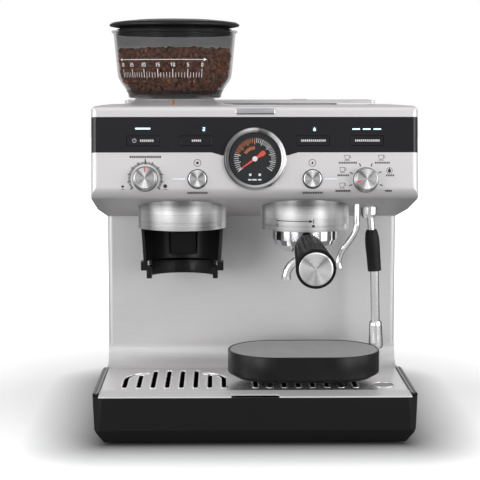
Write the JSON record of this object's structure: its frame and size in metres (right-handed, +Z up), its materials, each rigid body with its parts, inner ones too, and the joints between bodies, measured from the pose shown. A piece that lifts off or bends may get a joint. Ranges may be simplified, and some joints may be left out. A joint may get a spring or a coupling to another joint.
{
  "type": "espresso machine",
  "caption": "Bean-to-cup espresso machine with grinder and bean hopper, pressure gauge, portafilter, steam wand, hot water spout, cup platform and pull-out drip tray.",
  "frame": {"origin": "on the table under the middle of the outer box", "axes": "+Z up, -Y the front that the user faces, +X to the user's right"},
  "size_m": [0.328, 0.384, 0.4295],
  "materials": {
    "brushed_panel": "satin brushed",
    "silver_paint": "satin silver",
    "gloss_black": "gloss",
    "black_plastic": "fine texture",
    "chrome": "polished",
    "spun_metal": "spun",
    "smoked_plastic": "clear smoked",
    "clear_plastic": "clear",
    "roast_bean": "oily roast",
    "rubber_black": "matte",
    "seal_red": "matte",
    "dial_black": "matte",
    "needle_red": "gloss",
    "lamp_white": "lit",
    "mat_grey": "matte",
    "brass": "machined",
    "motor_grey": "satin",
    "circuit_green": "matte",
    "burr_steel": "ground"
  },
  "bodies": {
    "machine": {"base_pan": "black_plastic", "rubber_feet": "rubber_black", "rear_housing": "black_plastic", "column_panel": "brushed_panel", "head_shell": "silver_paint", "front_fascia": "silver_paint", "control_band": "gloss_black", "hopper_collar": "silver_paint", "grinder_case": "motor_grey", "grinder_motor": "motor_grey", "grinder_collar": "spun_metal", "dosing_cradle": "black_plastic", "group_collar": "spun_metal", "group_head": "brass", "group_seal": "seal_red", "shower_screen": "chrome", "hot_water_spout": "chrome", "gauge_case": "chrome", "gauge_dial": "dial_black", "gauge_lens": "clear_plastic", "indicator_lamps": "lamp_white", "control_board": "circuit_green", "boiler": "chrome", "pump": "motor_grey", "brew_valve": "brass", "power_inlet": "black_plastic", "badge_plate": "chrome"},
    "hopper": {"hopper_bowl": "smoked_plastic", "coffee_beans": "roast_bean", "upper_burr": "burr_steel"},
    "lid": {"hopper_lid": "black_plastic", "lid_gasket": "rubber_black"},
    "burr": {"lower_burr": "burr_steel"},
    "portafilter": {"portafilter_bowl": "chrome", "filter_basket": "chrome", "portafilter_spout": "chrome", "portafilter_handle": "black_plastic", "handle_cap": "spun_metal"},
    "wand_swivel": {"wand_collar": "chrome"},
    "steam_wand": {"wand_pipe": "chrome", "wand_grip": "rubber_black", "wand_nozzle": "chrome"},
    "gauge_pointer": {"gauge_needle": "needle_red"},
    "power_switch": {"power_button": "gloss_black"},
    "cups_switch": {"cups_button": "gloss_black"},
    "infusion_switch": {"infusion_button": "gloss_black"},
    "temperature_switch": {"temperature_button": "gloss_black"},
    "grind_switch": {"grind_button": "spun_metal"},
    "brew_switch": {"brew_button": "spun_metal"},
    "dose_dial": {"dose_knob": "spun_metal"},
    "mode_dial": {"mode_knob": "spun_metal"},
    "bin": {"drip_bin": "black_plastic", "tray_rails": "gloss_black"},
    "tray": {"tray_plate": "brushed_panel"},
    "float": {"drip_float": "mat_grey"},
    "platform": {"cup_platform": "black_plastic", "platform_mat": "mat_grey"},
    "tank": {"water_tank": "clear_plastic"},
    "tank_cover": {"tank_lid": "silver_paint"}
  },
  "joints": [
    {"name": "grind_setting", "type": "hinge", "parent": "machine", "child": "hopper", "pos_m": [-0.0835, 0.032, 0.35], "axis": [0, 0, 1], "range_deg": [-35, 68]},
    {"name": "hopper_lid_lift", "type": "slide", "parent": "hopper", "child": "lid", "axis": [0, 0, 1], "range_m": [0, 0.06]},
    {"name": "burr_spin", "type": "hinge", "parent": "machine", "child": "burr", "pos_m": [-0.0835, 0.032, 0.3], "axis": [0, 0, 1], "continuous": true},
    {"name": "portafilter_lock", "type": "hinge", "parent": "machine", "child": "portafilter", "pos_m": [0.0538, -0.038, 0.22], "axis": [0, 0, 1], "range_deg": [-40, 0]},
    {"name": "wand_swivel_turn", "type": "hinge", "parent": "machine", "child": "wand_swivel", "pos_m": [0.1227, -0.026, 0.233], "axis": [0, 0, 1], "range_deg": [0, 45]},
    {"name": "wand_tilt", "type": "hinge", "parent": "wand_swivel", "child": "steam_wand", "pos_m": [0.1227, -0.026, 0.233], "axis": [0, -1, 0], "range_deg": [0, 35]},
    {"name": "gauge_pressure", "type": "hinge", "parent": "machine", "child": "gauge_pointer", "pos_m": [0, -0.09699, 0.2859], "axis": [0, -0.9903, 0.1392], "range_deg": [-250, 15]},
    {"name": "power_press", "type": "slide", "parent": "machine", "child": "power_switch", "axis": [0, 0.9903, -0.1392], "range_m": [0, 0.001], "stiffness_N_per_m": 600},
    {"name": "cups_press", "type": "slide", "parent": "machine", "child": "cups_switch", "axis": [0, 0.9903, -0.1392], "range_m": [0, 0.001], "stiffness_N_per_m": 600},
    {"name": "infusion_press", "type": "slide", "parent": "machine", "child": "infusion_switch", "axis": [0, 0.9903, -0.1392], "range_m": [0, 0.001], "stiffness_N_per_m": 600},
    {"name": "temperature_press", "type": "slide", "parent": "machine", "child": "temperature_switch", "axis": [0, 0.9903, -0.1392], "range_m": [0, 0.001], "stiffness_N_per_m": 600},
    {"name": "grind_press", "type": "slide", "parent": "machine", "child": "grind_switch", "axis": [0, 0.9903, -0.1392], "range_m": [0, 0.0015], "stiffness_N_per_m": 600},
    {"name": "brew_press", "type": "slide", "parent": "machine", "child": "brew_switch", "axis": [0, 0.9903, -0.1392], "range_m": [0, 0.0015], "stiffness_N_per_m": 600},
    {"name": "dose_turn", "type": "hinge", "parent": "machine", "child": "dose_dial", "pos_m": [-0.1095, -0.09875, 0.26615], "axis": [0, -0.9903, 0.1392], "range_deg": [-120, 120]},
    {"name": "mode_turn", "type": "hinge", "parent": "machine", "child": "mode_dial", "pos_m": [0.111, -0.09892, 0.26496], "axis": [0, -0.9903, 0.1392], "range_deg": [-240, 0]},
    {"name": "bin_pull", "type": "slide", "parent": "machine", "child": "bin", "axis": [0, -1, 0], "range_m": [0, 0.14]},
    {"name": "tray_lift", "type": "slide", "parent": "bin", "child": "tray", "axis": [0, 0, 1], "range_m": [0, 0.025]},
    {"name": "float_rise", "type": "slide", "parent": "bin", "child": "float", "axis": [0, 0, 1], "range_m": [0, 0.007]},
    {"name": "platform_lift", "type": "slide", "parent": "tray", "child": "platform", "axis": [0, 0, 1], "range_m": [0, 0.05]},
    {"name": "tank_lift", "type": "slide", "parent": "machine", "child": "tank", "axis": [0, 0, 1], "range_m": [0, 0.15]},
    {"name": "tank_lid_open", "type": "hinge", "parent": "tank", "child": "tank_cover", "pos_m": [0, 0.181, 0.339], "axis": [-1, 0, 0], "range_deg": [0, 95]}
  ]
}
